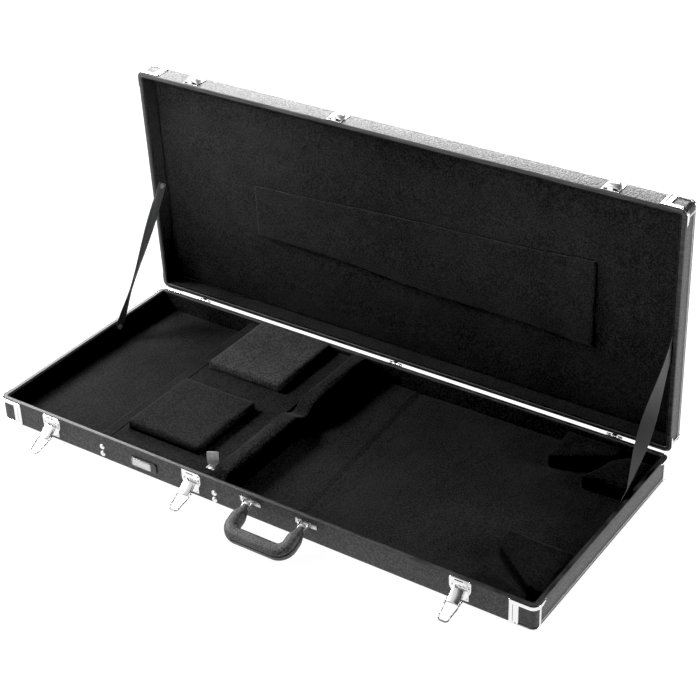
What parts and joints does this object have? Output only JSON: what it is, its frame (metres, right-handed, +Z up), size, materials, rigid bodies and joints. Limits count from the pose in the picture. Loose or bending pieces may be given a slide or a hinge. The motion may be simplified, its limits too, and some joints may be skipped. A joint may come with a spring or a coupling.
{
  "type": "guitar case",
  "caption": "Rectangular hard guitar case, open, with plush-lined base and lid, accessory compartment, bolsters, draw latches, straps and a swinging handle.",
  "frame": {"origin": "centre of the underside of the base tray", "axes": "+X along the case from the headstock end to the body end, +Y from the handle side to the hinge side, +Z up"},
  "size_m": [1.1424, 0.6055, 0.5422],
  "materials": {
    "tolex": "black vinyl covering with a pebbled leather grain",
    "plush": "short black plush",
    "wood": "bare pine strip",
    "bead": "grey extruded bead",
    "chrome": "nickel-chrome plate on pressed steel",
    "badge": "moulded plate with a plain silver panel",
    "webbing": "black woven webbing",
    "vinyl_tab": "grey vinyl",
    "handle_plastic": "moulded black handle with a fine leather grain"
  },
  "bodies": {
    "base": {"base_bottom_panel": "tolex", "base_front_wall": "tolex", "base_back_wall": "tolex", "base_left_wall": "tolex", "base_right_wall": "tolex", "base_wall_lining": "plush", "base_end_beads": "bead", "headstock_floor_pad": "plush", "compartment_floor_pad": "plush", "body_floor_pad_left": "plush", "body_floor_pad_right": "plush", "left_divider": "plush", "right_divider": "plush", "compartment_ledges": "wood", "bolster_rear_side": "plush", "bolster_rear_end": "plush", "bolster_front_end": "plush", "bolster_front_side": "plush", "base_corner_irons": "chrome", "hinge_base_leaves": "chrome", "hinge_pins": "chrome", "latch_plates": "chrome", "latch_ears": "chrome", "latch_lever_pins": "chrome", "base_rivets": "chrome", "handle_brackets": "chrome", "badge_plate": "badge", "divider_studs": "chrome", "strap_lower_screws": "chrome", "stay_strap_left": "webbing", "stay_strap_right": "webbing", "compartment_hinge_cloth": "plush"},
    "lid": {"lid_top_panel": "tolex", "lid_front_wall": "tolex", "lid_back_wall": "tolex", "lid_left_wall": "tolex", "lid_right_wall": "tolex", "lid_wall_lining": "plush", "lid_top_lining": "plush", "lid_raised_pad": "plush", "lid_end_beads": "bead", "lid_corner_irons": "chrome", "hinge_lid_leaves": "chrome", "lid_catches": "chrome", "lid_rivets": "chrome", "strap_upper_screws": "chrome"},
    "compartment_lid": {"compartment_lid": "plush", "rear_neck_pad": "plush", "front_neck_pad": "plush", "pull_tab": "vinyl_tab", "pull_tab_rivet": "chrome"},
    "handle": {"handle_grip": "handle_plastic", "handle_end_fittings": "chrome"},
    "latch_lever_left": {"latch_lever_left": "chrome"},
    "latch_lever_middle": {"latch_lever_middle": "chrome"},
    "latch_lever_right": {"latch_lever_right": "chrome"},
    "latch_loop_left": {"latch_loop_left": "chrome"},
    "latch_loop_middle": {"latch_loop_middle": "chrome"},
    "latch_loop_right": {"latch_loop_right": "chrome"}
  },
  "joints": [
    {"name": "lid_hinge", "type": "hinge", "parent": "base", "child": "lid", "pos_m": [0, 0.2435, 0.049], "axis": [-1, 0, 0], "range_deg": [-88, 0], "deforming": ["stay_strap_left", "stay_strap_right"]},
    {"name": "compartment_lid_hinge", "type": "hinge", "parent": "base", "child": "compartment_lid", "pos_m": [-0.323, 0, 0.044], "axis": [0, -1, 0], "range_deg": [0, 95], "deforming": ["compartment_hinge_cloth"]},
    {"name": "handle_swing", "type": "hinge", "parent": "base", "child": "handle", "pos_m": [0.074, -0.248, 0.036], "axis": [-1, 0, 0], "range_deg": [0, 85]},
    {"name": "latch_lever_left_pivot", "type": "hinge", "parent": "base", "child": "latch_lever_left", "pos_m": [-0.444, -0.246, 0.026], "axis": [-1, 0, 0], "range_deg": [-50, 0]},
    {"name": "latch_lever_middle_pivot", "type": "hinge", "parent": "base", "child": "latch_lever_middle", "pos_m": [-0.115, -0.246, 0.026], "axis": [-1, 0, 0], "range_deg": [-50, 0]},
    {"name": "latch_lever_right_pivot", "type": "hinge", "parent": "base", "child": "latch_lever_right", "pos_m": [0.433, -0.246, 0.026], "axis": [-1, 0, 0], "range_deg": [-50, 0]},
    {"name": "latch_loop_left_pivot", "type": "hinge", "parent": "latch_lever_left", "child": "latch_loop_left", "pos_m": [-0.444, -0.25519, 0.01829], "axis": [1, 0, 0], "range_deg": [-160, 0]},
    {"name": "latch_loop_middle_pivot", "type": "hinge", "parent": "latch_lever_middle", "child": "latch_loop_middle", "pos_m": [-0.115, -0.25519, 0.01829], "axis": [1, 0, 0], "range_deg": [-160, 0]},
    {"name": "latch_loop_right_pivot", "type": "hinge", "parent": "latch_lever_right", "child": "latch_loop_right", "pos_m": [0.433, -0.25519, 0.01829], "axis": [1, 0, 0], "range_deg": [-160, 0]}
  ],
  "couplings": [
    {"joint": "latch_loop_left_pivot", "follows": "latch_lever_left_pivot", "ratio": 3.2},
    {"joint": "latch_loop_middle_pivot", "follows": "latch_lever_middle_pivot", "ratio": 3.2},
    {"joint": "latch_loop_right_pivot", "follows": "latch_lever_right_pivot", "ratio": 3.2}
  ]
}
